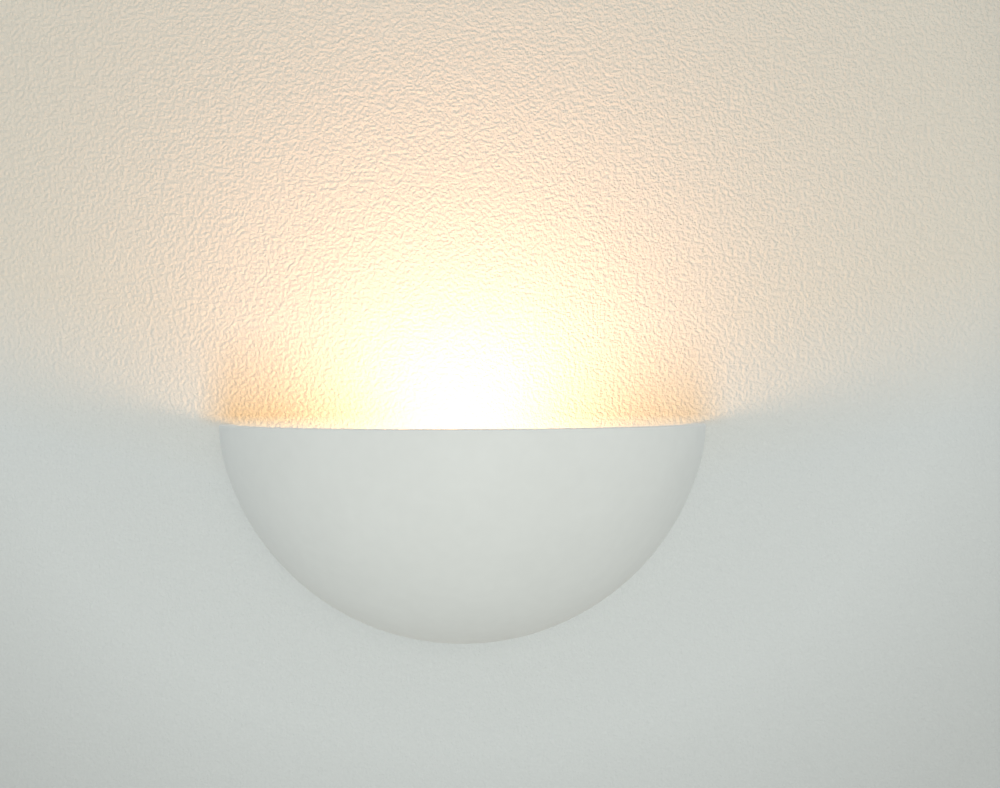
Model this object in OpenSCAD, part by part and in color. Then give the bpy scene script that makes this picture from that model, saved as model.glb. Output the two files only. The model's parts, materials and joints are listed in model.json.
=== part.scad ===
// Half-bowl plaster uplighter for a wall, with its fixing strap, lampholder, lamp and wiring.
// The wall is the plane y = 0 and the light faces -Y. The origin is midway between the two wall
// screws, on the wall, and +Z is up.

/* [Bowl] */
// Width of the bowl along the wall
bowl_w = 310; // [290:5:370]
// Height of the bowl from its rim to its lowest point on the wall
bowl_h = 140; // [125:5:170]
// How far the rim stands out from the wall
bowl_d = 125; // [120:5:150]
// Thickness of the plaster
bowl_wall = 10; // [8:0.5:12]
// Radius of the arc that brings the side upright below the rim
lip_r = 94; // [60:2:120]
// Rounding of the rim's two edges
rim_round = 1.2; // [0.4:0.2:2.5]
// Height of the rim above the wall screws
rim_up = 36; // [32:1:40]

/* [Bowl lugs] */
// Distance between the two studs that carry the bowl
stud_spacing = 194; // [184:2:206]
// Half the height of a lug, and the radius of its free end
lug_r = 15; // [13:0.5:18]
// Thickness of a lug
lug_t = 14; // [10:1:16]
// Gap between the wall and the back of a lug
lug_back = 4; // [3.8:0.2:6]
// Radial clearance of the stud in its lug
lug_clear = 0.5; // [0.4:0.1:1.5]
// Thickness of the steel plate on a lug
hanger_t = 1.5; // [1:0.1:2.5]
// Plaster that shows above and below the steel plate
lug_margin = 4; // [2.5:0.5:5]
// Thickness of the fibre washer
cushion_t = 2; // [1:0.5:3]
// Width of the ring of the fibre and steel washers, outside the stud
washer_ring = 5.5; // [4:0.5:6.5]
// Thickness of the steel washer
washer_t = 1.6; // [1:0.2:2]

/* [Studs and finger nuts] */
// Diameter of the stud
stud_d = 6; // [5:0.5:6]
// How far the stud's end stands out of its nut
stud_proud = 3; // [1:0.5:6]
// Depth of the nut's knurled head, outside the stud
nut_head_ring = 7; // [5:0.5:9]
// Thickness of the knurled head
nut_head_t = 6; // [4:0.5:9]
// Wall of the nut's plain boss, outside the stud
nut_boss_wall = 3; // [2:0.5:4.5]
// Thickness of the boss
nut_boss_t = 3; // [2:0.5:6]

/* [Wall strap] */
// Thickness of the strap
strap_t = 2; // [1.5:0.25:3]
// Height of the strap
strap_h = 40; // [38:1:44]
// Length of strap past each stud
strap_end = 17; // [14:1:20]
// Corner radius of the strap
strap_corner = 10; // [4:1:14]
// Gap between a lug and the end of the bent top edge
flange_gap = 7; // [5:1:27]
// Depth of the bent top edge
flange_d = 8; // [5:1:12]
// Distance between the wall screws
screw_spacing = 60; // [56:1:64]
// Length of a screw slot
slot_len = 12; // [8:1:14]
// Width of a screw slot
slot_w = 5; // [4.5:0.1:5.5]
// Height of the cable hole above the wall screws
cable_up = 8; // [8:0.5:9]
// Bore of the cable bush
cable_d = 8.4; // [7:0.2:9]
// Wall of the cable bush
bush_wall = 2.8; // [2:0.2:3]
// Width of the bush's rim past the hole
bush_rim = 2.8; // [1.5:0.1:2.8]

/* [Lampholder and lamp] */
// Distance from the wall to the lamp's axis
lamp_out = 45; // [42:1:48]
// Gap between the bowl's floor and the bracket, under the bracket's front end
floor_gap = 4.6; // [4:0.2:7]
// Radius of the lamp's globe
bulb_r = 22.5; // [20:0.5:22.5]
// Length of the lamp from its contact to its top
lamp_len = 76; // [74:0.5:78]
// Radius of the lamp's cap over its thread
cap_r = 6.95; // [6.9:0.01:6.95]
// Thickness of the lamp's glass
glass_t = 0.8; // [0.6:0.1:1]
// Wall of the lampholder's sleeve, round the flare of the lamp's cap
sleeve_wall = 3.1; // [2.6:0.1:4]
// Width of the step round the lampholder's foot
foot_step = 1; // [0.6:0.1:2]
// Thickness of the foot, below the contact block
holder_foot_t = 5; // [4.5:0.5:6]
// Thickness of the bracket
bracket_t = 2; // [1.5:0.25:2.5]
// Radius inside the bracket's bend
bend_r = 2; // [1:0.5:3]

/* [Terminals and leads] */
// Gap between the terminal block and the lug beside it
block_gap = 5; // [4:0.5:7]
// Distance between two terminals
pole_pitch = 11; // [10.5:0.5:11]
// Height of the terminal block
block_h = 18; // [16:1:20]
// Depth of the terminal block
block_d = 13; // [13:0.5:15]
// Sideways place of the earth screw
earth_x = 38; // [37.5:0.5:39]
// Drop of the earth screw below the wall screws
earth_down = 13; // [12:0.5:13.5]
// Diameter of an insulated lead
lead_d = 2.6; // [2:0.1:2.6]

/* [Fits] */
// Radial clearance of a thread or a close pin
fit_close = 0.05; // [0.02:0.01:0.1]
// Radial clearance of the lamp's cap in the holder's thread
fit_lamp = 0.15; // [0.1:0.05:0.3]
// Gap between parts of two moving bodies that face each other
gap = 0.3; // [0.2:0.05:0.5]

/* [Hidden] */
$fn = 96;
LEFT = -1;
RIGHT = 1;
reach = 500;   // longer than any cut needs

// Bowl: a plaster shell turned about an upright axis that stands behind the wall. Its side is a
// ball whose middle is above the rim, and a smaller arc, tangent to the ball, brings it upright.
// ball_up and ball_r come from the two conditions that the ball touches that arc and that it meets
// the wall at the bowl's lowest point. A bowl as high as half its width is a ball below a tube.
half_w = bowl_w / 2;
rim_r = (bowl_d + half_w * half_w / bowl_d) / 2;
axis_back = rim_r - bowl_d;
deep = bowl_h < half_w;
lip_x = rim_r - lip_r;
lip_share = lip_r / bowl_h;
up_start = (half_w * half_w - bowl_h * bowl_h) / (2 * bowl_h);
half_b = rim_r - (bowl_h + up_start) * lip_share;
less_c = pow(bowl_h + up_start, 2) - half_w * half_w;
wider = (sqrt(half_b * half_b + (1 - lip_share * lip_share) * less_c) - half_b) / (1 - lip_share * lip_share);
ball_up = deep ? up_start + lip_share * wider : half_w - bowl_h;
ball_r = deep ? rim_r + wider : rim_r;

// Studs, washers and nuts, front to back along the stud
stud_r = stud_d / 2;
stud_x = stud_spacing / 2;
stud_flange_t = 1.2;
stud_flange_r = stud_r + 2;
washer_r = stud_r + washer_ring;
nut_head_r = stud_r + nut_head_ring;
nut_boss_r = stud_r + nut_boss_wall;
hanger_r = lug_r - lug_margin;
lug_front = lug_back + lug_t;
hanger_front = lug_front + hanger_t;
cushion_front = hanger_front + cushion_t;
washer_front = cushion_front + washer_t;
nut_front = washer_front + nut_boss_t + nut_head_t;
stud_front = nut_front + stud_proud;
hanger_hole_r = stud_r + gap;
hanger_w = 34;
hanger_out = 6;             // how far the plate's middle lies outside the stud
plate_screw_out = 15;       // plate screws, outward from the stud and up or down from it
plate_screw_z = 6;
plate_screw_r = 1.5;
plate_screw_l = 10;

// Strap
strap_w = stud_spacing + 2 * strap_end;
flange_w = stud_spacing - 2 * (lug_r + flange_gap);
bush_r = cable_d / 2 + bush_wall;
bush_rim_t = 2;
rivet_x = 7;
rivet_z = -12;
rivet_r = 2;
rivet_sink = 1.2;

// Lampholder and lamp, bottom to top: the bracket lies just above the bowl's floor
cap_wall = 0.4;
cap_flare_r = cap_r + 1.65;
holder_r = cap_flare_r + gap + sleeve_wall;
holder_foot_r = holder_r + foot_step;
bracket_w = 2 * holder_foot_r;
floor_r = axis_back + lamp_out + bracket_w / 2;
floor_z = rim_up + ball_up - sqrt(pow(ball_r - bowl_wall, 2) - floor_r * floor_r);
foot_z = floor_z + floor_gap;
bracket_top = -4;
holder_bottom = foot_z + bracket_t;
holder_floor = holder_bottom + holder_foot_t;
lamp_tip = holder_floor + 4;
light_z = lamp_tip + lamp_len - bulb_r;
cap_bottom = lamp_tip + 6;
cap_neck = lamp_tip + 21.5;
cap_top = lamp_tip + 27;
eyelet_t = 1.6;
glass_neck_r = cap_flare_r - cap_wall - fit_close;
glass_bottom = cap_neck + 2;
neck_angle = 40;
holder_top = lamp_tip + 24;
thread_r = cap_r + fit_lamp;
thread_wall = 0.5;
thread_top = lamp_tip + 20;
thread_bottom = lamp_tip + 2.5;
holder_bore = thread_r + thread_wall + fit_close;
block_top = lamp_tip - 1.5;
contact_t = 0.5;
holder_screw_x = 8;
holder_screw_r = 1.5;
port_x = 5.5;               // the holder's two lead ports, left and right of its middle
port_z = holder_bottom + 2.6;
port_r = lead_d / 2 + 0.2;
spring_w = 4.6;
spring_l = 6;
spring_h = 3.6;

// Terminal block
poles = [-1, 0, 1];
pole_w = 8;
block_x = stud_x - lug_r - block_gap - pole_pitch - pole_w / 2;
tube_y = strap_t + 5.5;
tube_r = 2.7;
tube_bore = 1.7;
tube_l = block_h - 4;
port_wall_r = 1.8;
clamp_z = 4;
clamp_r = 1.5;
web_d = 7;
fix_r = 1.45;

// Earth connection
collar_r = 4;
collar_h = 2.5;
earth_r = 2;
earth_z = -earth_down;
lug_plate_t = 0.8;
collar_front = strap_t + collar_h;
earth_barrel_y = collar_front + 2;
earth_barrel_r = lead_d / 2 + 0.7;
earth_barrel_top = earth_z - 4.5;
earth_barrel_l = 6;

// Leads: each starts in a terminal and its middle points are chosen by hand
tube_end = -5;
block_bottom = -block_h / 2;
live_start = [block_x, -tube_y, 0];
neutral_start = [block_x + pole_pitch, -tube_y, 0];
earth_start = [block_x - pole_pitch, -tube_y, 0];
port_back = -lamp_out + holder_foot_r;
live_path = [
    live_start + [0, 0, tube_end], live_start + [0, 0, block_bottom - 5],
    [60, -9, -26], [50, -13, -38], [32, -17, -47], [14, -17, -52.5],
    [port_x + 1, port_back + 13, port_z + 0.4], [port_x, port_back + 7, port_z],
    [port_x, port_back + 1, port_z], [port_x, port_back - 4, port_z]
];
neutral_path = [
    neutral_start + [0, 0, tube_end], neutral_start + [0, 0, block_bottom - 5],
    [71, -9, -30], [60, -13, -43], [36, -13, -52], [12, -11, -56], [-2, -13, -57],
    [-port_x, port_back + 11, port_z - 0.8], [-port_x, port_back + 6, port_z],
    [-port_x, port_back + 1, port_z], [-port_x, port_back - 4, port_z]
];
earth_path = [
    earth_start + [0, 0, tube_end], earth_start + [0, 0, block_bottom - 5],
    earth_start + [-1, -0.5, block_bottom - 15], [46, -8, -30.5], [41.5, -7.5, -30.5],
    [earth_x + 0.2, -earth_barrel_y, -26], [earth_x, -earth_barrel_y, earth_barrel_top - 5],
    [earth_x, -earth_barrel_y, earth_barrel_top - 1.5]
];
lead_sides = 8;

// ---- Shared shapes ----

module rounded_rect(w, h, r) {
    square([w - 2 * r, h], center = true);
    square([w, h - 2 * r], center = true);
    for (x = [-1, 1], z = [-1, 1])
        translate([x * (w / 2 - r), z * (h / 2 - r)]) circle(r);
}

// A flat outline in X and Z, t thick, whose back lies y in front of the wall
module on_wall(y, t) {
    translate([0, -y, 0]) rotate([90, 0, 0]) linear_extrude(t) children();
}

// A round bar square to the wall, from y_back to y_front in front of it
module rod(x, z, r, y_back, y_front) {
    translate([x, -y_back, z]) rotate([90, 0, 0]) cylinder(r = r, h = y_front - y_back);
}

module cone_rod(x, z, r_back, r_front, y_back, y_front) {
    translate([x, -y_back, z]) rotate([90, 0, 0])
        cylinder(r1 = r_back, r2 = r_front, h = y_front - y_back);
}

module at_lamp() {
    translate([0, -lamp_out, 0]) children();
}

// A screw head with a driver slot, its top facing the room
module slotted_head(x, z, r, y_back, t) {
    difference() {
        rod(x, z, r, y_back, y_back + t);
        translate([x - r - 1, -y_back - t - 1, z - 0.3]) cube([2 * r + 2, t * 0.45 + 1, 0.6]);
    }
}

// ---- Sweep of a round lead along its path ----

function unit(v) = v / norm(v);
function curve_point(a, b, c, d, t) =
    0.5 * (2 * b + (c - a) * t + (2 * a - 5 * b + 4 * c - d) * t * t
           + (3 * b - a - 3 * c + d) * t * t * t);
function smooth_path(p) = let (n = len(p) - 1) concat(
    [for (i = [0 : n - 1], t = [0, 0.5])
        curve_point(p[max(i - 1, 0)], p[i], p[i + 1], p[min(i + 2, n)], t)],
    [p[n]]);
function heading(p, i) = unit(p[min(i + 1, len(p) - 1)] - p[max(i - 1, 0)]);
function carried(side, dir) = unit(side - (side * dir) * dir);
function sides(p, i = 0, side = [1, 0.2, 0.1]) = i == len(p) ? [] :
    let (s = carried(side, heading(p, i))) concat([s], sides(p, i + 1, s));

module lead(path, r) {
    p = smooth_path(path);
    side = sides(p);
    n = len(p);
    points = [for (i = [0 : n - 1], k = [0 : lead_sides - 1])
        let (a = 360 * k / lead_sides, up = cross(heading(p, i), side[i]))
        p[i] + r * (cos(a) * side[i] + sin(a) * up)];
    skin = [for (i = [0 : n - 2], k = [0 : lead_sides - 1])
        let (j = (k + 1) % lead_sides, a = i * lead_sides)
        [a + k, a + k + lead_sides, a + j + lead_sides, a + j]];
    start_cap = [for (k = [0 : lead_sides - 1]) k];
    end_cap = [for (k = [lead_sides - 1 : -1 : 0]) (n - 1) * lead_sides + k];
    polyhedron(points, concat(skin, [start_cap, end_cap]), convexity = 6);
}

// ---- Bowl and what is fixed to it ----

// Height, from the rim, at which the ball passes into the arc above it
function lip_bottom(inset) = deep ? -ball_up * (lip_r - inset) / (ball_r - lip_r) : ball_up;

// Half the bowl's upright section, inset from its outer surface. Its height counts from the rim.
module bowl_section(inset) {
    bottom = lip_bottom(inset);
    intersection() {
        translate([0, ball_up]) rotate(180) circle(ball_r - inset);
        translate([0, bottom - reach]) square(reach);
    }
    translate([0, bottom]) square([deep ? lip_x : ball_r - inset, -bottom]);
    if (deep) intersection() {
        translate([lip_x, 0]) rotate(180) circle(lip_r - inset);
        translate([lip_x / 2, bottom]) square([reach, -bottom]);
    }
}

module rim_corner(x, turn) {
    translate([x, 0]) mirror([turn, 0]) difference() {
        translate([-rim_round, -rim_round]) square(rim_round + 1);
        translate([-rim_round, -rim_round]) circle(rim_round);
    }
}

// Turns a section about the bowl's axis and cuts it at the wall, or further out
module bowl_turned(cut = 0) {
    intersection() {
        translate([0, axis_back, rim_up]) rotate_extrude() children();
        translate([-reach / 2, -reach - cut, -reach / 2]) cube(reach);
    }
}

module lug(side) {
    rod(side * stud_x, 0, lug_r, lug_back, lug_front);
    translate([side > 0 ? stud_x : -stud_x - reach, -lug_front, -lug_r])
        cube([reach, lug_t, 2 * lug_r]);
}

module bowl() {
    color([0.87, 0.86, 0.83]) difference() {
        union() {
            bowl_turned() difference() {
                bowl_section(0);
                bowl_section(bowl_wall);
                rim_corner(rim_r, 0);
                rim_corner(rim_r - bowl_wall, 1);
            }
            intersection() {
                bowl_turned() bowl_section(bowl_wall / 2);
                union() {
                    lug(LEFT);
                    lug(RIGHT);
                }
            }
        }
        for (side = [LEFT, RIGHT]) {
            rod(side * stud_x, 0, stud_r + lug_clear, 0, lug_front + 1);
            plate_screw_holes(side);
        }
    }
}

module plate_screw_holes(side) {
    for (z = [-1, 1])
        rod(side * (stud_x + plate_screw_out), z * plate_screw_z, plate_screw_r + fit_close,
            lug_front - plate_screw_l, lug_front + hanger_t + 1);
}

module hanger_plates() {
    color("silver") for (side = [LEFT, RIGHT]) difference() {
        translate([side * (stud_x + hanger_out), 0, 0])
            on_wall(lug_front, hanger_t) rounded_rect(hanger_w, 2 * hanger_r, 4);
        rod(side * stud_x, 0, hanger_hole_r, lug_front - 1, hanger_front + 1);
        plate_screw_holes(side);
    }
}

module hanger_plate_screws() {
    color("silver") for (side = [LEFT, RIGHT], z = [-1, 1])
        plate_screw(side * (stud_x + plate_screw_out), z * plate_screw_z);
}

module plate_screw(x, z) {
    rod(x, z, plate_screw_r, lug_front - plate_screw_l + 0.5, hanger_front);
    slotted_head(x, z, 2 * plate_screw_r, hanger_front, 1.6);
}

module washer(side, r_hole, back, t, r) {
    difference() {
        rod(side * stud_x, 0, r, back, back + t);
        rod(side * stud_x, 0, r_hole, back - 1, back + t + 1);
    }
}

module cushion_washers() {
    color("saddlebrown") for (side = [LEFT, RIGHT])
        washer(side, stud_r + gap, hanger_front, cushion_t, washer_r);
}

// ---- Finger nuts ----

module nut_washer(side) {
    color("silver") washer(side, stud_r + gap / 2, cushion_front, washer_t, washer_r);
}

module knurled_nut(side) {
    boss_front = washer_front + nut_boss_t;
    edge = 0.8;
    color([0.80, 0.68, 0.38]) difference() {
        union() {
            rod(side * stud_x, 0, nut_boss_r, washer_front, boss_front);
            cone_rod(side * stud_x, 0, nut_head_r - edge, nut_head_r, boss_front, boss_front + edge);
            rod(side * stud_x, 0, nut_head_r, boss_front + edge, nut_front - edge);
            cone_rod(side * stud_x, 0, nut_head_r, nut_head_r - edge, nut_front - edge, nut_front);
        }
        rod(side * stud_x, 0, stud_r + fit_close, washer_front - 1, nut_front + 1);
    }
}

// ---- Strap on the wall ----

module screw_slots() {
    for (x = [-1, 1]) translate([x * screw_spacing / 2, 0]) {
        square([slot_len - slot_w, slot_w], center = true);
        for (end = [-1, 1]) translate([end * (slot_len - slot_w) / 2, 0]) circle(slot_w / 2);
    }
}

module wall_plate() {
    color("gainsboro") difference() {
        union() {
            on_wall(0, strap_t) rounded_rect(strap_w, strap_h, strap_corner);
            translate([-flange_w / 2, -strap_t - flange_d, strap_h / 2 - strap_t])
                cube([flange_w, flange_d + strap_t / 2, strap_t]);
            rod(earth_x, earth_z, collar_r, strap_t / 2, collar_front);
        }
        on_wall(-1, strap_t + 2) screw_slots();
        rod(0, cable_up, bush_r + fit_close, -1, strap_t + 1);
        rod(earth_x, earth_z, earth_r + fit_close, -1, collar_front + 1);
        for (x = [-1, 1]) {
            rod(x * rivet_x, rivet_z, rivet_r + fit_close, -1, strap_t + 1);
            cone_rod(x * rivet_x, rivet_z, rivet_r + rivet_sink + fit_close, rivet_r + fit_close,
                     0, rivet_sink);
            rod(block_x + x * pole_pitch / 2, 0, fix_r + fit_close, -1, strap_t + 1);
        }
    }
}

module bowl_studs() {
    tip = 0.8;
    color("silver") for (side = [LEFT, RIGHT]) {
        rod(side * stud_x, 0, stud_flange_r, strap_t, strap_t + stud_flange_t);
        rod(side * stud_x, 0, stud_r, strap_t, stud_front - tip);
        cone_rod(side * stud_x, 0, stud_r, stud_r - tip, stud_front - tip, stud_front);
    }
}

module cable_grommet() {
    color([0.12, 0.12, 0.12]) translate([0, 0, cable_up]) rotate([90, 0, 0])
        rotate_extrude() translate([cable_d / 2, 0]) {
            square([bush_wall, strap_t]);
            translate([0, strap_t]) square([bush_wall + bush_rim - bush_rim_t / 2, bush_rim_t]);
            translate([bush_wall + bush_rim - bush_rim_t / 2, strap_t + bush_rim_t / 2])
                circle(bush_rim_t / 2);
        }
}

// ---- Bracket and lampholder ----

module bracket_outline() {
    y_leg = strap_t + bracket_t;
    translate([-y_leg, foot_z + bend_r + bracket_t])
        square([bracket_t, bracket_top - foot_z - bend_r - bracket_t]);
    translate([-lamp_out, foot_z]) square([lamp_out - y_leg - bend_r, bracket_t]);
    translate([-y_leg - bend_r, foot_z + bend_r + bracket_t]) difference() {
        intersection() {
            circle(bend_r + bracket_t);
            translate([0, -reach]) square(reach);
        }
        circle(bend_r);
    }
}

module holder_bracket() {
    color("gainsboro") difference() {
        union() {
            translate([-bracket_w / 2, 0, 0]) rotate([90, 0, 90])
                linear_extrude(bracket_w) bracket_outline();
            at_lamp() translate([0, 0, foot_z]) cylinder(r = bracket_w / 2, h = bracket_t);
        }
        for (x = [-1, 1]) {
            rod(x * rivet_x, rivet_z, rivet_r + fit_close, strap_t - 1, strap_t + bracket_t + 1);
            at_lamp() translate([x * holder_screw_x, 0, foot_z - 1])
                cylinder(r = holder_screw_r + fit_close, h = bracket_t + 2);
        }
    }
}

module bracket_rivets() {
    front = strap_t + bracket_t;
    color("silver") for (x = [-1, 1]) {
        cone_rod(x * rivet_x, rivet_z, rivet_r + rivet_sink, rivet_r, 0, rivet_sink);
        rod(x * rivet_x, rivet_z, rivet_r, 0, front);
        cone_rod(x * rivet_x, rivet_z, rivet_r + 1.6, rivet_r + 0.6, front, front + 1.3);
    }
}

module holder_body() {
    edge = 0.8;
    foot_top = lamp_tip + 8;
    color([0.93, 0.92, 0.88]) at_lamp() difference() {
        union() {
            translate([0, 0, holder_bottom]) cylinder(r = holder_foot_r, h = foot_top - holder_bottom);
            translate([0, 0, foot_top]) cylinder(r = holder_r, h = holder_top - edge - foot_top);
            translate([0, 0, holder_top - edge]) cylinder(r1 = holder_r, r2 = holder_r - edge, h = edge);
        }
        translate([0, 0, holder_floor]) cylinder(r = holder_bore, h = reach);
        translate([0, 0, thread_top + gap]) cylinder(r = cap_flare_r + gap, h = reach);
        for (x = [-1, 1]) {
            translate([x * holder_screw_x, 0, holder_bottom - 1])
                cylinder(r = holder_screw_r + fit_close, h = holder_foot_t);
            translate([x * port_x, 0, port_z]) rotate([-90, 0, 0])
                cylinder(r = port_r, h = reach);
            translate([x * port_x - spring_w / 2 - fit_close, holder_foot_r - 10.3,
                       holder_bottom - 1])
                cube([spring_w + 2 * fit_close, spring_l + 0.6, spring_h + 1.8]);
        }
    }
}

module holder_terminals() {
    color("goldenrod") at_lamp() for (x = [-1, 1]) difference() {
        translate([x * port_x - spring_w / 2, holder_foot_r - 10, holder_bottom + 0.6])
            cube([spring_w, spring_l, spring_h]);
        translate([x * port_x, 0, port_z]) rotate([-90, 0, 0]) cylinder(r = port_r, h = reach);
    }
}

module holder_screws() {
    head_t = 2;
    color("silver") at_lamp() for (x = [-1, 1]) translate([x * holder_screw_x, 0, 0]) {
        translate([0, 0, foot_z - head_t]) difference() {
            cylinder(r = 2 * holder_screw_r, h = head_t);
            translate([-reach / 2, -0.3, -1]) cube([reach, 0.6, 1 + head_t * 0.45]);
        }
        translate([0, 0, foot_z - head_t / 2])
            cylinder(r = holder_screw_r, h = head_t / 2 + bracket_t + holder_foot_t - 1.6);
    }
}

module contact_block() {
    color("ivory") at_lamp() translate([0, 0, holder_floor])
        cylinder(r = holder_bore - fit_close, h = block_top - holder_floor);
}

module centre_contact() {
    color("goldenrod") at_lamp() {
        translate([-2, -6, block_top]) cube([4, 12, contact_t]);
        translate([0, 0, block_top]) cylinder(r1 = 2, r2 = 1.5, h = lamp_tip - gap - block_top);
    }
}

module thread_shell() {
    color("goldenrod") at_lamp() difference() {
        translate([0, 0, thread_bottom]) cylinder(r = thread_r + thread_wall, h = thread_top - thread_bottom);
        translate([0, 0, thread_bottom + thread_wall]) cylinder(r = thread_r, h = reach);
        translate([0, 0, thread_bottom - 1]) cylinder(r = cap_r - 0.6, h = reach);
    }
}

// ---- Lamp ----

module lamp_eyelet() {
    color("lightgray") at_lamp() translate([0, 0, lamp_tip])
        cylinder(r1 = 2, r2 = 3.4, h = eyelet_t);
}

module cap_insulator() {
    color([0.08, 0.08, 0.1]) at_lamp() translate([0, 0, lamp_tip + eyelet_t])
        cylinder(r1 = 3.9, r2 = cap_r - 0.9, h = cap_bottom - lamp_tip - eyelet_t);
}

module lamp_cap() {
    color("silver") at_lamp() translate([0, 0, cap_bottom]) rotate_extrude() difference() {
        cap_profile(0);
        translate([0, cap_wall]) cap_profile(cap_wall);
        translate([0, cap_top - cap_bottom - cap_wall]) square([cap_flare_r - cap_wall, 2]);
    }
}

// Outline of the cap, inset from its outer surface: the thread sleeve and the flare above it
module cap_profile(inset) {
    neck = cap_neck - cap_bottom;
    top = cap_top - cap_bottom;
    polygon([[0, 0], [cap_r - 0.9 - inset, 0], [cap_r - inset, 0.9], [cap_r - inset, neck],
             [cap_flare_r - inset, neck + 1.5], [cap_flare_r - inset, top], [0, top]]);
}

// Outline of the globe and its neck, inset from the glass's outer surface
module globe_profile(inset) {
    touch = [(bulb_r - inset) * cos(neck_angle), light_z - (bulb_r - inset) * sin(neck_angle)];
    neck_r = glass_neck_r - inset;
    neck_z = touch.y - (touch.x - neck_r) * cos(neck_angle) / sin(neck_angle);
    intersection() {
        translate([0, light_z]) circle(bulb_r - inset);
        translate([0, touch.y]) square(reach);
    }
    polygon([[0, glass_bottom], [neck_r, glass_bottom], [neck_r, neck_z], touch, [0, touch.y]]);
}

module lamp_glass() {
    color([1, 0.93, 0.78]) at_lamp() rotate_extrude() difference() {
        globe_profile(0);
        globe_profile(glass_t);
    }
}

stem_top = light_z - 9;
module lamp_stem() {
    flare_t = 1.5;
    color("lightcyan") at_lamp() {
        translate([0, 0, glass_bottom])
            cylinder(r = glass_neck_r - glass_t - fit_close, h = flare_t);
        translate([0, 0, glass_bottom]) cylinder(r1 = 5.5, r2 = 2.2, h = 9);
        translate([0, 0, glass_bottom]) cylinder(r = 2.2, h = stem_top - glass_bottom);
    }
}

filament_r = 8;
filament_gap = 60;
filament_wire = 0.5;
module filament() {
    color("orange") at_lamp() translate([0, 0, light_z]) rotate([0, 0, filament_gap / 2])
        rotate_extrude(angle = 360 - filament_gap) translate([filament_r, 0]) circle(filament_wire);
}

module filament_wires() {
    color("dimgray") at_lamp() for (side = [-1, 1]) {
        from = [1.2, side * 0.9, stem_top + 0.1];
        to = [filament_r * cos(filament_gap / 2), side * filament_r * sin(filament_gap / 2),
              light_z - filament_wire - 0.1];
        way = to - from;
        translate(from) rotate([0, acos(way.z / norm(way)), atan2(way.y, way.x)])
            cylinder(r = 0.35, h = norm(way) - 0.3);
    }
}

// ---- Terminal block ----

module terminal_body() {
    body_w = 2 * pole_pitch + pole_w;
    color([0.95, 0.94, 0.90]) difference() {
        union() {
            for (i = poles) translate([block_x + i * pole_pitch, 0, 0])
                on_wall(strap_t, block_d) rounded_rect(pole_w, block_h, 1);
            translate([block_x, 0, 0]) on_wall(strap_t, web_d) square([body_w - 2, block_h], center = true);
        }
        for (i = poles) translate([block_x + i * pole_pitch, 0, 0]) {
            translate([0, -tube_y, -tube_l / 2 - 0.1]) cylinder(r = tube_r + fit_close, h = tube_l + 0.2);
            translate([0, -tube_y, -block_h]) cylinder(r = port_wall_r, h = 2 * block_h);
            for (z = [-1, 1]) rod(0, z * clamp_z, clamp_r + 0.4, tube_y, strap_t + block_d + 1);
        }
        for (side = [-1, 1]) {
            rod(block_x + side * pole_pitch / 2, 0, fix_r + 0.15, strap_t - 1, strap_t + block_d);
            rod(block_x + side * pole_pitch / 2, 0, 3, strap_t + web_d, strap_t + block_d + 1);
        }
    }
}

module terminal_tubes() {
    color("goldenrod") for (i = poles) translate([block_x + i * pole_pitch, 0, 0]) difference() {
        translate([0, -tube_y, -tube_l / 2]) cylinder(r = tube_r, h = tube_l);
        translate([0, -tube_y, -tube_l]) cylinder(r = tube_bore, h = 2 * tube_l);
        for (z = [-1, 1]) rod(0, z * clamp_z, clamp_r + fit_close, tube_y, strap_t + block_d);
    }
}

module terminal_clamp_screws() {
    tip = tube_y + lead_d / 2 + gap / 2;
    color("silver") for (i = poles, z = [-1, 1])
        clamp_screw(block_x + i * pole_pitch, z * clamp_z, tip);
}

module clamp_screw(x, z, tip) {
    head_t = 1.6;
    top = strap_t + block_d - 1;
    rod(x, z, clamp_r, tip, top - head_t);
    slotted_head(x, z, clamp_r + 0.2, top - head_t, head_t);
}

module terminal_fixing_screws() {
    color("silver") for (side = [-1, 1]) {
        rod(block_x + side * pole_pitch / 2, 0, fix_r, 0.4, strap_t + web_d);
        slotted_head(block_x + side * pole_pitch / 2, 0, 2.6, strap_t + web_d, 1.8);
    }
}

// ---- Earth connection ----

module earth_lug() {
    color("silver") difference() {
        union() {
            rod(earth_x, earth_z, collar_r, collar_front, collar_front + lug_plate_t);
            translate([earth_x - 1.6, -collar_front - lug_plate_t, earth_barrel_top - 1])
                cube([3.2, lug_plate_t, earth_z - earth_barrel_top + 1]);
            translate([earth_x, -earth_barrel_y, earth_barrel_top - earth_barrel_l])
                cylinder(r = earth_barrel_r, h = earth_barrel_l);
        }
        rod(earth_x, earth_z, earth_r + fit_close, collar_front - 1, collar_front + 2);
        translate([earth_x, -earth_barrel_y, earth_barrel_top - 2 * earth_barrel_l])
            cylinder(r = lead_d / 2 + fit_close, h = 3 * earth_barrel_l);
    }
}

module earth_washer() {
    back = collar_front + lug_plate_t;
    color("silver") difference() {
        rod(earth_x, earth_z, collar_r - 0.2, back, back + lug_plate_t);
        rod(earth_x, earth_z, earth_r + fit_close, back - 1, back + 2);
    }
}

module earth_screw() {
    head_back = collar_front + 2 * lug_plate_t;
    color("goldenrod") {
        rod(earth_x, earth_z, earth_r, 0.4, head_back);
        slotted_head(earth_x, earth_z, 3.5, head_back, 2.4);
    }
}

// ---- Leads ----

module live_lead() {
    color("sienna") lead(live_path, lead_d / 2);
}

module neutral_lead() {
    color("royalblue") lead(neutral_path, lead_d / 2);
}

module earth_lead() {
    color("yellowgreen") lead(earth_path, lead_d / 2);
}

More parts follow.
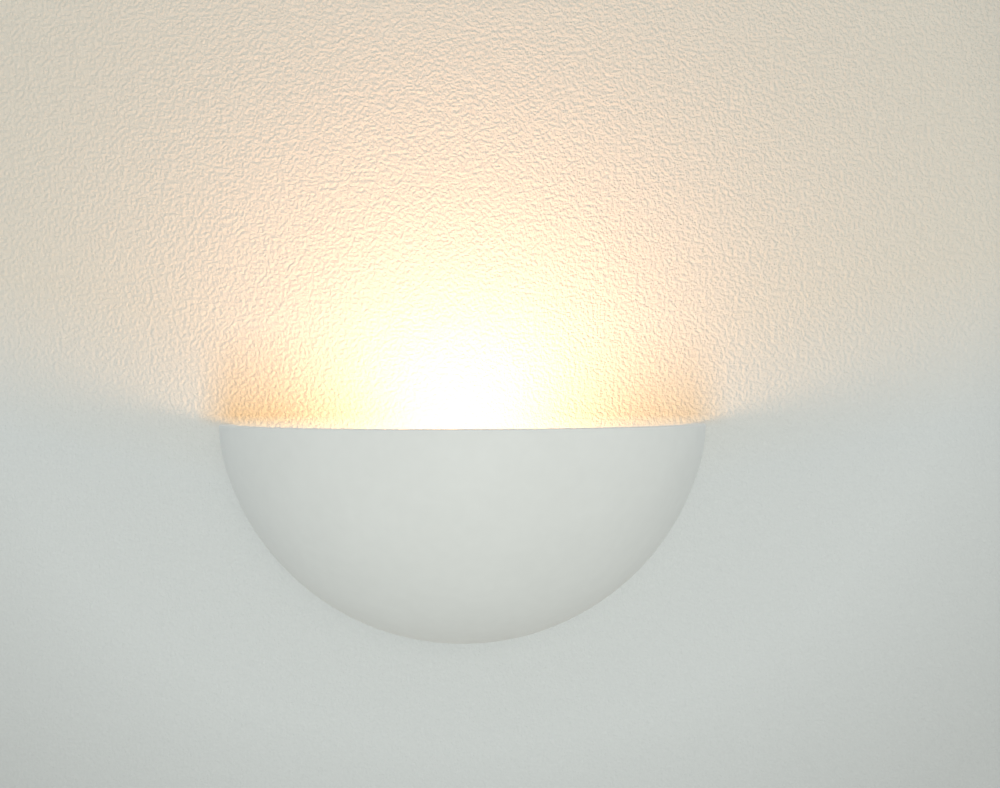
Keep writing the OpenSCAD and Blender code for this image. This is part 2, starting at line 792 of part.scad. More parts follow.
bowl();
hanger_plates();
hanger_plate_screws();
cushion_washers();
wall_plate();
bowl_studs();
cable_grommet();
nut_washer(LEFT);  // nut_washer_left
nut_washer(RIGHT);  // nut_washer_right
knurled_nut(LEFT);  // knurled_nut_left
knurled_nut(RIGHT);  // knurled_nut_right
holder_bracket();
bracket_rivets();
holder_body();
holder_screws();
contact_block();
centre_contact();
thread_shell();
holder_terminals();
lamp_eyelet();
cap_insulator();
lamp_cap();
lamp_glass();
lamp_stem();
filament();
filament_wires();
terminal_body();
terminal_tubes();
terminal_clamp_screws();
terminal_fixing_screws();
earth_lug();
earth_washer();
earth_screw();
live_lead();
neutral_lead();
earth_lead();
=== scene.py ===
"""Looks of a half-bowl plaster uplighter: bowl, strap, finger nuts, lampholder, lamp and leads."""

import json
import math
from contextlib import contextmanager

import bmesh
import bpy
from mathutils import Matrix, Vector

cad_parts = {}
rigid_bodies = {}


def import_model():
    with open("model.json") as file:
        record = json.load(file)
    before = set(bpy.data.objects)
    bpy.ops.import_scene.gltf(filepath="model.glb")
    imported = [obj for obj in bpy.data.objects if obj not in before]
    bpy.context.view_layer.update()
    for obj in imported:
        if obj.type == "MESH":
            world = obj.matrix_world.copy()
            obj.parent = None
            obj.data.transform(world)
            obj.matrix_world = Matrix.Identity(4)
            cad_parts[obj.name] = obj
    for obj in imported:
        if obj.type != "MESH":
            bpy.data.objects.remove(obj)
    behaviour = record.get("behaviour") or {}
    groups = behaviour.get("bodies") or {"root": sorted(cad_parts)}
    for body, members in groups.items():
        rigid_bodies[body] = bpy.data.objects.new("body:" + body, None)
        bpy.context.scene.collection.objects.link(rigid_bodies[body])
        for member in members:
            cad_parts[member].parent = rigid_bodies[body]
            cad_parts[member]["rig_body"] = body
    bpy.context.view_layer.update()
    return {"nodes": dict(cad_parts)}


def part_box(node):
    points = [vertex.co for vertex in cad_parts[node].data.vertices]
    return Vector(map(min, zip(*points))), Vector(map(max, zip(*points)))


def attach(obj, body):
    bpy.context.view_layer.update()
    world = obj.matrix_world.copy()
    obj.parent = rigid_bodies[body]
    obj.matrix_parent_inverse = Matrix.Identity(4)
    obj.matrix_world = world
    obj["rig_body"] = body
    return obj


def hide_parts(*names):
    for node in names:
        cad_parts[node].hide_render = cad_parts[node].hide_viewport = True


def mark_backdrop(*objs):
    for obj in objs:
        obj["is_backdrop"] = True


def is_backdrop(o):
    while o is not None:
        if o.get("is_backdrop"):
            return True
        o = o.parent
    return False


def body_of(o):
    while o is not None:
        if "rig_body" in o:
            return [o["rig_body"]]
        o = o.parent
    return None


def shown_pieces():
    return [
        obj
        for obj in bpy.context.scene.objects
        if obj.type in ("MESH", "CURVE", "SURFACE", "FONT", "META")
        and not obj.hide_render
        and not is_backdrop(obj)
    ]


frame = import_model()

MM = 0.001
TAU = 2 * math.pi
UP = Vector((0, 0, 1))
ROOM = Vector((0, -1, 0))   # away from the wall
RIGHT = Vector((1, 0, 0))
ORIGIN = Vector((0, 0, 0))

# ---- Sizes, in millimetres, as on the frame ----

rim_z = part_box("bowl")[1].z / MM
AXIS_BACK = 33.6        # the bowl is turned about an upright axis this far behind the wall
WALL_T = 10
LIP_R = 94              # the arc of the lip, and how far its centre is from the axis
LIP_CENTRE = 64.6
BALL_R = 160.88         # the ball of the underside, and how far its centre is above the rim
BALL_UP = 17.33
RIM_ROUND = 1.2

STUD_X = 97             # each stud is this far to the side of the middle
STUD_R = 3
STUD_PITCH = 1
STUD_THREAD = 0.5       # depth of the stud's thread
STUD_HOLE_R = 3.5
LUG_R = 15
LUG_BACK = 4            # the lug's two faces, measured from the wall
LUG_FRONT = 18
LUG_ROOT = 139.5        # where the lug runs into the shell
STRAP_T = 2

LAMP_OUT = 45           # the lamp's axis is this far from the wall
BULB_R = 22.5
GLASS_T = 0.8
NECK_ANGLE = 40
CAP_R = 6.95
CAP_WALL = 0.4
CAP_FLARE = 1.65        # the cap is this much wider where it holds the glass
CAP_SLEEVE = 15.5       # height of its threaded sleeve
CAP_FOOT = 0.9          # height of its rounded foot, where the thread starts
CAP_PITCH = 2.822
CAP_THREAD = 0.5
HOLDER_FIT = 0.15       # gap between the cap and the lampholder's thread
GLASS_FIT = 0.05
cap_low, cap_high = (corner.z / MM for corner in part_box("lamp_cap"))
glass_low, glass_high = (corner.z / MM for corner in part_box("lamp_glass"))
shell_low, shell_high = (corner.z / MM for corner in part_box("thread_shell"))
light_z = glass_high - BULB_R
LAMP_FOOT = Vector((0, -LAMP_OUT, 0))

STRIPE = "stripe"       # the attribute that says where a lead's second colour lies
GLOBE_GLOW = 0.6


# ---- Camera ----

def make_camera():
    """The viewpoint of the photograph: just above the rim and square to the wall."""
    place = Vector((0.024, -0.796, 0.055))
    roll = math.radians(0.13)
    bpy.ops.object.camera_add(location=place, rotation=(math.pi / 2, roll, 0))
    camera = bpy.context.object
    camera.name = "Camera"
    camera.data.lens = 45
    camera.data.sensor_width = 36
    bpy.context.scene.camera = camera


# ---- Modelling by hand ----

def activate(obj):
    """Makes obj the only selected object."""
    bpy.ops.object.select_all(action="DESELECT")
    obj.select_set(True)
    bpy.context.view_layer.objects.active = obj


@contextmanager
def editing(obj):
    """Edit mode on obj, with everything selected."""
    activate(obj)
    bpy.ops.object.mode_set(mode="EDIT")
    bpy.ops.mesh.select_mode(type="VERT")
    bpy.ops.mesh.select_all(action="SELECT")
    yield obj
    bpy.ops.object.mode_set(mode="OBJECT")


def select(obj, kind, test):
    """In edit mode, selects only the verts, edges or faces of obj that pass test."""
    bpy.ops.mesh.select_mode(type={"verts": "VERT", "edges": "EDGE", "faces": "FACE"}[kind])
    bpy.ops.mesh.select_all(action="DESELECT")
    mesh = bmesh.from_edit_mesh(obj.data)
    for part in getattr(mesh, kind):
        part.select_set(bool(test(part)))
    bmesh.update_edit_mesh(obj.data)


def close_up():
    """Joins the doubles of the mesh in edit mode and turns its faces outwards."""
    bpy.ops.mesh.select_all(action="SELECT")
    bpy.ops.mesh.remove_doubles(threshold=0.002 * MM)
    bpy.ops.mesh.normals_make_consistent(inside=False)


def smooth(obj, angle=35):
    """Shades obj smooth, with its edges sharp past an angle in degrees."""
    activate(obj)
    bpy.ops.object.shade_smooth_by_angle(angle=math.radians(angle))


def finish_with(obj, kind, **settings):
    """Adds a modifier with these settings and applies it."""
    activate(obj)
    modifier = obj.modifiers.new(kind.title(), kind)
    for name, value in settings.items():
        setattr(modifier, name, value)
    bpy.ops.object.modifier_apply(modifier=modifier.name)


def chain(name, points):
    """A line of vertices through points, drawn by extruding one vertex."""
    bpy.ops.object.select_all(action="DESELECT")
    bpy.ops.mesh.primitive_plane_add(size=MM, location=ORIGIN)
    obj = bpy.context.object
    obj.name = name
    with editing(obj):
        bpy.ops.mesh.merge(type="CENTER")
        bpy.ops.transform.translate(value=points[0])
        for start, end in zip(points, points[1:]):
            bpy.ops.mesh.extrude_region_move(TRANSFORM_OT_translate={"value": end - start})
    return obj


def lathe(name, outline, foot, axis=UP, side=RIGHT, steps=96, turn=360):
    """Turns an outline of (radius, height) points, in mm, about the axis through foot."""
    foot = foot * MM
    obj = chain(name, [foot + (side * r + axis * h) * MM for r, h in outline])
    with editing(obj):
        bpy.ops.mesh.spin(steps=steps, angle=math.radians(turn), center=foot, axis=axis)
        close_up()
    return obj


def arc(centre, radius, start, end, steps):
    """Points along an arc, from one angle to another in degrees."""
    angles = [math.radians(start + (end - start) * i / steps) for i in range(steps + 1)]
    return [(centre[0] + radius * math.cos(a), centre[1] + radius * math.sin(a)) for a in angles]


def evenly(start, end, steps):
    """Points along a straight stretch of an outline, both ends included."""
    return [tuple(a + (b - a) * i / steps for a, b in zip(start, end)) for i in range(steps + 1)]


def push_radially(obj, foot, axis, side, depth_at):
    """Moves each vertex towards the axis by depth_at(radius, height, turns), all but turns in mm."""
    other = axis.cross(side)
    for vertex in obj.data.vertices:
        arm = vertex.co / MM - foot
        height = arm.dot(axis)
        arm -= axis * height
        if arm.length < 0.1:
            continue
        turns = math.atan2(arm.dot(other), arm.dot(side)) / TAU
        vertex.co -= arm.normalized() * depth_at(arm.length, height, turns) * MM
    obj.data.update()


def fade(height, low, high, length):
    """1 between low and high, falling to 0 over length at both ends."""
    return max(0, min(1, (height - low) / length, (high - height) / length))


def rounded_thread(pitch, depth, low, high):
    """The rolled thread of a lamp cap, a smooth wave that runs out at both ends."""
    def depth_at(radius, height, turns):
        wave = 0.5 - 0.5 * math.cos(TAU * ((height - low) / pitch - turns))
        return depth * wave * fade(height, low, high, pitch / 2)
    return depth_at


def cut_thread(pitch, depth, low, high, inner):
    """A machine thread on the surface outside inner: straight flanks, run out at both ends."""
    def depth_at(radius, height, turns):
        if radius < inner:
            return 0
        wave = abs(2 * (((height - low) / pitch - turns) % 1) - 1)
        return depth * wave * fade(height, low, high, pitch / 2)
    return depth_at


def rounded_copy(node, width):
    """A copy of a CAD node with its triangles joined and its sharp edges eased, by a width in mm."""
    source = frame["nodes"][node]
    obj = bpy.data.objects.new(node + "_eased", source.data.copy())
    bpy.context.scene.collection.objects.link(obj)
    with editing(obj):
        bpy.ops.mesh.remove_doubles(threshold=0.001 * MM)
        bpy.ops.mesh.dissolve_limited(angle_limit=math.radians(0.4))
    finish_with(obj, "BEVEL", width=width * MM, segments=2, limit_method="ANGLE",
                angle_limit=math.radians(40), use_clamp_overlap=True)
    smooth(obj)
    finish_with(obj, "WEIGHTED_NORMAL", keep_sharp=True)
    return obj


def place(obj, body, slot, *nodes, finish=None):
    """Gives a new piece its finish and its body, and hides the CAD nodes that it stands for."""
    obj.data.materials.clear()
    obj.data.materials.append(finish or FINISHES[slot])
    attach(obj, body)
    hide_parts(*nodes)


# ---- Node groups that several finishes share ----

def node(tree, kind, inputs=None, **settings):
    """Adds a node, sets it up, and fills its inputs with numbers, colours or other sockets."""
    made = tree.nodes.new("ShaderNode" + kind)
    for name, value in settings.items():
        setattr(made, name, value)
    for name, value in (inputs or {}).items():
        if isinstance(value, bpy.types.NodeSocket):
            tree.links.new(value, made.inputs[name])
        else:
            made.inputs[name].default_value = value
    return made


def mapped(tree, value, low, high, to_low=0, to_high=1):
    """A value's range from low to high, spread over to_low to to_high and held at both."""
    numbers = {"Value": value, "From Min": low, "From Max": high, "To Min": to_low, "To Max": to_high}
    return node(tree, "MapRange", numbers).outputs["Result"]


def maths(tree, operation, first, second):
    """One number from two."""
    return node(tree, "Math", {0: first, 1: second}, operation=operation).outputs[0]


def blended(tree, factor, first, second):
    """One colour into another."""
    made = node(tree, "Mix", data_type="RGBA")
    for index, value in ((0, factor), (6, first), (7, second)):
        if isinstance(value, bpy.types.NodeSocket):
            tree.links.new(value, made.inputs[index])
        else:
            made.inputs[index].default_value = value
    return made.outputs[2]


def group(name, inputs, outputs):
    """An empty node group with named sockets. Returns its tree, its inputs and its output node."""
    tree = bpy.data.node_groups.new(name, "ShaderNodeTree")
    for label, (kind, value) in inputs.items():
        socket = tree.interface.new_socket(label, in_out="INPUT", socket_type="NodeSocket" + kind)
        if value is not None:
            socket.default_value = value
    for label, kind in outputs.items():
        tree.interface.new_socket(label, in_out="OUTPUT", socket_type="NodeSocket" + kind)
    return tree, tree.nodes.new("NodeGroupInput").outputs, tree.nodes.new("NodeGroupOutput")


def cloudy_tone_group():
    """A colour that drifts a little lighter and darker over the surface."""
    tree, given, out = group(
        "Cloudy tone",
        {"Vector": ("Vector", None), "Colour": ("Color", (0.8, 0.8, 0.8, 1)),
         "Scale": ("Float", 20.0), "Amount": ("Float", 0.05)},
        {"Colour": "Color", "Mask": "Float"})
    wide = node(tree, "TexNoise", {"Vector": given["Vector"], "Scale": given["Scale"], "Detail": 3})
    finer = maths(tree, "MULTIPLY", given["Scale"], 9.0)
    close = node(tree, "TexNoise", {"Vector": given["Vector"], "Scale": finer, "Detail": 2})
    mixed = maths(tree, "MULTIPLY_ADD", close.outputs["Fac"], 0.4)
    tree.links.new(maths(tree, "MULTIPLY", wide.outputs["Fac"], 0.6), mixed.node.inputs[2])
    mask = mapped(tree, mixed, 0.35, 0.65)
    shift = maths(tree, "MULTIPLY", maths(tree, "SUBTRACT", mask, 0.5), given["Amount"])
    bright = maths(tree, "ADD", shift, 1.0)
    toned = node(tree, "VectorMath", {0: given["Colour"]}, operation="SCALE")
    tree.links.new(bright, toned.inputs["Scale"])
    tree.links.new(toned.outputs[0], out.inputs["Colour"])
    tree.links.new(mask, out.inputs["Mask"])
    return tree


def fine_grain_group():
    """The height of a fine rough grain over a slow unevenness."""
    tree, given, out = group(
        "Fine grain",
        {"Vector": ("Vector", None), "Scale": ("Float", 2000.0), "Swell": ("Float", 0.5)},
        {"Height": "Float"})
    grain = node(tree, "TexNoise", {"Vector": given["Vector"], "Scale": given["Scale"], "Detail": 3})
    broad = maths(tree, "MULTIPLY", given["Scale"], 0.03)
    swell = node(tree, "TexNoise", {"Vector": given["Vector"], "Scale": broad, "Detail": 1})
    raised = maths(tree, "MULTIPLY", swell.outputs["Fac"], given["Swell"])
    tree.links.new(maths(tree, "ADD", grain.outputs["Fac"], raised), out.inputs["Height"])
    return tree


def drawn_lines_group():
    """Streaks along one direction, as on rolled or drawn metal."""
    tree, given, out = group(
        "Drawn lines",
        {"Vector": ("Vector", None), "Stretch": ("Vector", (1, 1, 1)), "Scale": ("Float", 900.0)},
        {"Mask": "Float"})
    pulled = node(tree, "VectorMath", {0: given["Vector"], 1: given["Stretch"]}, operation="MULTIPLY")
    lines = node(tree, "TexNoise", {"Vector": pulled.outputs[0], "Scale": given["Scale"], "Detail": 2})
    tree.links.new(mapped(tree, lines.outputs["Fac"], 0.3, 0.7), out.inputs["Mask"])
    return tree


def settled_dust_group():
    """Where dust lies: on what faces up, and patchy."""
    tree, given, out = group(
        "Settled dust",
        {"Vector": ("Vector", None), "Normal": ("Vector", None), "Amount": ("Float", 0.3)},
        {"Mask": "Float"})
    upward = node(tree, "SeparateXYZ", {0: given["Normal"]}).outputs["Z"]
    patches = node(tree, "TexNoise", {"Vector": given["Vector"], "Scale": 160.0, "Detail": 4})
    patchy = mapped(tree, patches.outputs["Fac"], 0.35, 0.65, 0.35, 1)
    lying = maths(tree, "MULTIPLY", mapped(tree, upward, 0.25, 0.95), patchy)
    tree.links.new(maths(tree, "MULTIPLY", lying, given["Amount"]), out.inputs["Mask"])
    return tree


TONE = cloudy_tone_group()
GRAIN = fine_grain_group()
LINES = drawn_lines_group()
DUST = settled_dust_group()
DUST_COLOUR = (0.42, 0.39, 0.34, 1)


# ---- Finishes ----

class Finish:
    """A material round one Principled shader, with the parts that most finishes use."""

    def __init__(self, name, **plain):
        self.material = bpy.data.materials.new(name)
        self.material.use_nodes = True
        self.tree = self.material.node_tree
        self.shader = self.tree.nodes["Principled BSDF"]
        coordinates = self.tree.nodes.new("ShaderNodeTexCoord").outputs
        self.where, self.normal = coordinates["Object"], coordinates["Normal"]
        for label, value in plain.items():
            label = label.replace("_", " ").title().replace("Ior", "IOR")
            self.shader.inputs[label].default_value = value

    def set(self, label, socket):
        """Feeds one of the shader's inputs."""
        self.tree.links.new(socket, self.shader.inputs[label])

    def use(self, tree, **inputs):
        """Places a node group, fed with this finish's own coordinates."""
        made = self.tree.nodes.new("ShaderNodeGroup")
        made.node_tree = tree
        self.tree.links.new(self.where, made.inputs["Vector"])
        for label, value in inputs.items():
            if isinstance(value, bpy.types.NodeSocket):
                self.tree.links.new(value, made.inputs[label])
            else:
                made.inputs[label].default_value = value
        return made.outputs

    def tone(self, colour, scale, amount):
        """A colour that drifts by amount over the surface, and the mask of its drift."""
        return self.use(TONE, Colour=(*colour, 1), Scale=scale, Amount=amount)

    def dusted(self, colour, amount):
        """A colour under dust that lies on what faces up."""
        mask = self.use(DUST, Normal=self.normal, Amount=amount)["Mask"]
        return blended(self.tree, mask, colour, DUST_COLOUR)

    def bump(self, height, depth):
        """Raises the surface by a height of up to depth, in mm."""
        numbers = {"Height": height, "Distance": depth * MM, "Strength": 1.0}
        self.set("Normal", node(self.tree, "Bump", numbers).outputs["Normal"])


def plaster():
    """Cast plaster, matt and off-white, sanded smooth with a very fine grain and a few pinholes."""
    f = Finish("Matt plaster", specular_ior_level=0.25)
    tone = f.tone((0.730, 0.755, 0.735), 14.0, 0.035)
    f.set("Base Color", f.dusted(tone["Colour"], 0.10))
    f.set("Roughness", mapped(f.tree, tone["Mask"], 0, 1, 0.84, 0.95))
    grain = f.use(GRAIN, Scale=1700.0, Swell=1.3)["Height"]
    holes = node(f.tree, "TexVoronoi", {"Vector": f.where, "Scale": 130.0}).outputs["Distance"]
    pitted = maths(f.tree, "ADD", grain, mapped(f.tree, holes, 0.02, 0.06, -0.9, 0))
    f.bump(pitted, 0.05)
    return f.material


def metal(name, colour, roughness, stretch=(1, 1, 1), scale=900.0,
          uneven=0.10, depth=0.004, spread=0.27):
    """Bare or plated metal with drawn lines, cloudy patches and a little dust on top.

    uneven is how much its colour drifts, depth is that of its lines in mm, and spread is the share
    by which its roughness changes.
    """
    f = Finish(name, metallic=1.0)
    tone = f.tone(colour, 60.0, uneven)
    f.set("Base Color", f.dusted(tone["Colour"], 0.12))
    lines = f.use(LINES, Stretch=stretch, Scale=scale)["Mask"]
    mixed = maths(f.tree, "MULTIPLY_ADD", lines, 0.6)
    f.tree.links.new(maths(f.tree, "MULTIPLY", tone["Mask"], 0.4), mixed.node.inputs[2])
    f.set("Roughness", mapped(f.tree, mixed, 0, 1, roughness * (1 - spread), roughness * (1 + spread)))
    f.bump(lines, depth)
    return f


def zinc_steel():
    """Zinc-plated sheet steel, rolled lengthways, with a faint bluish spangle."""
    f = metal("Zinc-plated steel", (0.56, 0.58, 0.60), 0.40, (0.06, 1, 1), 1400.0)
    spangle = node(f.tree, "TexVoronoi", {"Vector": f.where, "Scale": 260.0}).outputs["Color"]
    grey = node(f.tree, "SeparateColor", {"Color": spangle}).outputs[0]
    base = f.shader.inputs["Base Color"].links[0].from_socket
    pale = blended(f.tree, mapped(f.tree, grey, 0, 1, 0, 0.22), base, (0.74, 0.77, 0.80, 1))
    f.set("Base Color", pale)
    return f.material


def bright_screw():
    """Turned and zinc-plated steel, smoother and brighter than the sheet."""
    return metal("Bright zinc screw", (0.62, 0.62, 0.63), 0.26, scale=700.0,
                 uneven=0.08, depth=0.0008, spread=0.14).material


def brass():
    """Pressed brass, lightly tarnished in patches."""
    f = metal("Pressed brass", (0.74, 0.52, 0.22), 0.27, (1, 2, 1), 500.0, depth=0.001, spread=0.16)
    stain = node(f.tree, "TexNoise", {"Vector": f.where, "Scale": 150.0, "Detail": 3.0}).outputs["Fac"]
    base = f.shader.inputs["Base Color"].links[0].from_socket
    tarnish = mapped(f.tree, stain, 0.5, 0.75, 0, 0.35)
    f.set("Base Color", blended(f.tree, tarnish, base, (0.40, 0.25, 0.10, 1)))
    return f.material


def turned_brass():
    """Brass turned on a lathe, with fine rings round each stud's axis."""
    f = metal("Turned brass", (0.76, 0.55, 0.25), 0.25, scale=400.0,
              uneven=0.08, depth=0.001, spread=0.12)
    parts = node(f.tree, "SeparateXYZ", {0: f.where}).outputs
    across = maths(f.tree, "SUBTRACT", maths(f.tree, "ABSOLUTE", parts["X"], 0.0), STUD_X * MM)
    arm = node(f.tree, "CombineXYZ", {0: across, 2: parts["Z"]}).outputs[0]
    radius = node(f.tree, "VectorMath", {0: arm}, operation="LENGTH").outputs["Value"]
    rings = node(f.tree, "TexNoise", {"W": radius, "Scale": 1600.0, "Detail": 1.0},
                 noise_dimensions="1D")
    f.bump(rings.outputs["Fac"], 0.004)
    return f.material


def nickel():
    """Thin nickel plating, a little warm, with lines round the cap."""
    return metal("Nickel-plated cap", (0.66, 0.63, 0.58), 0.20, (1, 1, 0.2), 1300.0).material


def glazed(name, colour, roughness, coat, dust=0.15):
    """A hard glossy body: glaze over porcelain, or fused glass."""
    f = Finish(name, coat_weight=coat, coat_roughness=0.08)
    tone = f.tone(colour, 45.0, 0.05)
    f.set("Base Color", f.dusted(tone["Colour"], dust))
    f.set("Roughness", mapped(f.tree, tone["Mask"], 0, 1, roughness * 0.8, roughness * 1.25))
    f.bump(f.use(GRAIN, Scale=350.0, Swell=0.6)["Height"], 0.012)
    return f.material


def porcelain():
    """Cream glazed porcelain."""
    return glazed("Glazed porcelain", (0.80, 0.78, 0.71), 0.22, coat=0.6)


def black_glass():
    """The black glass that insulates the lamp's centre contact."""
    return glazed("Black glass insulator", (0.012, 0.012, 0.016), 0.15, coat=0.8, dust=0.05)


def white_nylon():
    """Moulded nylon, faintly translucent, with a satin mould finish."""
    f = Finish("Moulded nylon", subsurface_weight=0.12, subsurface_scale=0.002)
    tone = f.tone((0.76, 0.74, 0.68), 70.0, 0.04)
    f.set("Base Color", f.dusted(tone["Colour"], 0.2))
    f.set("Roughness", mapped(f.tree, tone["Mask"], 0, 1, 0.36, 0.5))
    f.bump(f.use(GRAIN, Scale=2600.0, Swell=0.3)["Height"], 0.012)
    return f.material


def black_rubber():
    """Soft black rubber, matt and a little cloudy."""
    f = Finish("Black rubber bush")
    tone = f.tone((0.022, 0.022, 0.023), 80.0, 0.3)
    f.set("Base Color", f.dusted(tone["Colour"], 0.12))
    f.set("Roughness", mapped(f.tree, tone["Mask"], 0, 1, 0.55, 0.75))
    f.bump(f.use(GRAIN, Scale=2200.0, Swell=0.5)["Height"], 0.02)
    return f.material


def red_fibre():
    """Vulcanised fibre: a dark red pressed board with short paler fibres."""
    f = Finish("Red fibre washer", specular_ior_level=0.35)
    tone = f.tone((0.26, 0.045, 0.03), 120.0, 0.35)
    fibres = f.use(LINES, Stretch=(1, 0.2, 0.35), Scale=2400.0)["Mask"]
    pale = blended(f.tree, mapped(f.tree, fibres, 0.6, 1, 0, 0.5), tone["Colour"], (0.42, 0.15, 0.09, 1))
    f.set("Base Color", f.dusted(pale, 0.15))
    f.set("Roughness", mapped(f.tree, fibres, 0, 1, 0.5, 0.75))
    f.bump(fibres, 0.03)
    return f.material


def frosted_glass():
    """The lamp's frosted globe, lit from inside: hottest round the filament, warmer at the neck."""
    f = Finish("Lit frosted globe", emission_strength=GLOBE_GLOW, coat_weight=0.5, coat_roughness=0.12)
    tone = f.tone((0.86, 0.83, 0.76), 90.0, 0.04)
    f.set("Base Color", tone["Colour"])
    f.set("Roughness", mapped(f.tree, tone["Mask"], 0, 1, 0.3, 0.42))
    height = node(f.tree, "SeparateXYZ", {0: f.where}).outputs["Z"]
    up_globe = mapped(f.tree, height, (glass_low + 3) * MM, (light_z + 3) * MM)
    patchy = maths(f.tree, "MULTIPLY", up_globe, mapped(f.tree, tone["Mask"], 0, 1, 0.93, 1))
    f.set("Emission Color", blended(f.tree, patchy, (0.50, 0.22, 0.07, 1), (1.0, 0.80, 0.52, 1)))
    f.bump(f.use(GRAIN, Scale=2400.0, Swell=0.2)["Height"], 0.008)
    return f.material


def clear_glass():
    """The glass stem inside the lamp, faintly green and streaked."""
    f = Finish("Clear glass stem", transmission_weight=1.0, ior=1.5)
    tone = f.tone((0.90, 0.95, 0.93), 150.0, 0.05)
    f.set("Base Color", tone["Colour"])
    f.set("Roughness", mapped(f.tree, tone["Mask"], 0, 1, 0.02, 0.08))
    f.bump(f.use(LINES, Stretch=(1, 1, 0.1), Scale=900.0)["Mask"], 0.01)
    return f.material


def filament():
    """Tungsten wire at work."""
    f = Finish("Glowing tungsten", metallic=1.0, emission_strength=12.0)
    tone = f.tone((0.35, 0.33, 0.30), 500.0, 0.3)
    f.set("Base Color", tone["Colour"])
    f.set("Roughness", mapped(f.tree, tone["Mask"], 0, 1, 0.35, 0.6))
    f.set("Emission Color", blended(f.tree, tone["Mask"], (1, 0.42, 0.12, 1), (1, 0.6, 0.25, 1)))
    f.bump(f.use(LINES, Scale=3000.0)["Mask"], 0.01)
    return f.material


def insulation(name, colour, second=None):
    """Plastic lead insulation with a slight sheen. A second colour runs along it as two stripes."""
    f = Finish(name, coat_weight=0.15, coat_roughness=0.3)
    tone = f.tone(colour, 200.0, 0.12)
    shown = tone["Colour"]
    if second:
        lay = node(f.tree, "Attribute", attribute_name=STRIPE).outputs["Fac"]
        shown = blended(f.tree, mapped(f.tree, lay, 0.45, 0.55), shown, (*second, 1))
    f.set("Base Color", f.dusted(shown, 0.12))
    f.set("Roughness", mapped(f.tree, tone["Mask"], 0, 1, 0.34, 0.5))
    f.bump(f.use(GRAIN, Scale=1800.0, Swell=0.8)["Height"], 0.015)
    return f.material


FINISHES = {
    "plaster": plaster(),
    "zinc_steel": zinc_steel(),
    "bright_screw": bright_screw(),
    "brass": brass(),
    "nickel": nickel(),
    "porcelain": porcelain(),
    "white_nylon": white_nylon(),
    "black_rubber": black_rubber(),
    "red_fibre": red_fibre(),
    "frosted_glass": frosted_glass(),
    "clear_glass": clear_glass(),
    "black_glass": black_glass(),
    "filament": filament(),
    "brown_lead": insulation("Brown lead", (0.13, 0.045, 0.018)),
    "blue_lead": insulation("Blue lead", (0.02, 0.10, 0.42)),
    "earth_lead": insulation("Green and yellow lead", (0.03, 0.26, 0.03), (0.80, 0.62, 0.03)),
}


# ---- The bowl ----

def bowl_surface(inset, start_radius, steps):
    """One side of the shell, from start_radius below up to the rim: the ball, then the lip's arc.

    The last point of the arc is left to the rim's own rounding.
    """
    ball_centre = (0, rim_z + BALL_UP)
    lip_centre = (LIP_CENTRE, rim_z)
    meet = -math.degrees(math.atan2(BALL_UP, LIP_CENTRE))
    first = -math.degrees(math.acos(start_radius / (BALL_R - inset)))
    ball = arc(ball_centre, BALL_R - inset, first, meet, steps)
    lip = arc(lip_centre, LIP_R - inset, meet, -math.degrees(RIM_ROUND / LIP_R), steps // 4)
    return ball + lip[1:-1]


def bowl_outline():
    """The closed section of the shell, with both edges of its rim rounded."""
    behind_wall, shell_steps, rim_steps = 8, 52, 5
    start = AXIS_BACK - behind_wall
    outer, inner = LIP_CENTRE + LIP_R, LIP_CENTRE + LIP_R - WALL_T
    top = rim_z - RIM_ROUND
    rim = arc((outer - RIM_ROUND, top), RIM_ROUND, 0, 90, rim_steps)
    rim += arc((inner + RIM_ROUND, top), RIM_ROUND, 90, 180, rim_steps)
    outside, inside = bowl_surface(0, start, shell_steps), bowl_surface(WALL_T, start, shell_steps)
    section = outside + rim + inside[::-1]
    return section + section[:1]


def make_lug(side):
    """A lug: a round end, a straight body, and a foot that flares into the shell."""
    flare, lean = 9, 0.38       # the foot's length, and how it leans with the shell
    flare_steps = ((0.5, 1.05), (0.3, 1.09), (0.2, 1.10))       # share of that length, growth
    straight = LUG_ROOT - flare - STUD_X
    middle = (LUG_BACK + LUG_FRONT) / 2
    bpy.ops.object.select_all(action="DESELECT")
    bpy.ops.mesh.primitive_cylinder_add(
        vertices=64, radius=LUG_R * MM, depth=(LUG_FRONT - LUG_BACK) * MM,
        location=Vector((side * STUD_X, -middle, 0)) * MM, rotation=(math.pi / 2, 0, 0))
    lug = bpy.context.object
    bpy.ops.object.transform_apply()
    outward = RIGHT * side
    with editing(lug):
        bpy.ops.mesh.bisect(plane_co=(side * STUD_X * MM, 0, 0), plane_no=outward,
                            use_fill=True, clear_outer=True)
        select(lug, "faces", lambda face: face.normal.dot(outward) > 0.99)
        bpy.ops.mesh.extrude_region_move(TRANSFORM_OT_translate={"value": outward * straight * MM})
        for share, grow in flare_steps:
            step = outward * flare * share * MM
            bpy.ops.mesh.extrude_region_move(TRANSFORM_OT_translate={"value": step})
            bpy.ops.transform.resize(value=(1, grow, grow),
                                     center_override=(0, -middle * MM, 0))
        bpy.ops.mesh.select_all(action="SELECT")
        bpy.ops.mesh.normals_make_consistent(inside=False)
    foot = (LUG_ROOT - flare - 1) * MM
    for vertex in lug.data.vertices:
        if abs(vertex.co.x) > foot:
            vertex.co.x += side * lean * vertex.co.z
    finish_with(lug, "BEVEL", width=1.0 * MM, segments=3, limit_method="ANGLE",
                angle_limit=math.radians(60))
    return lug


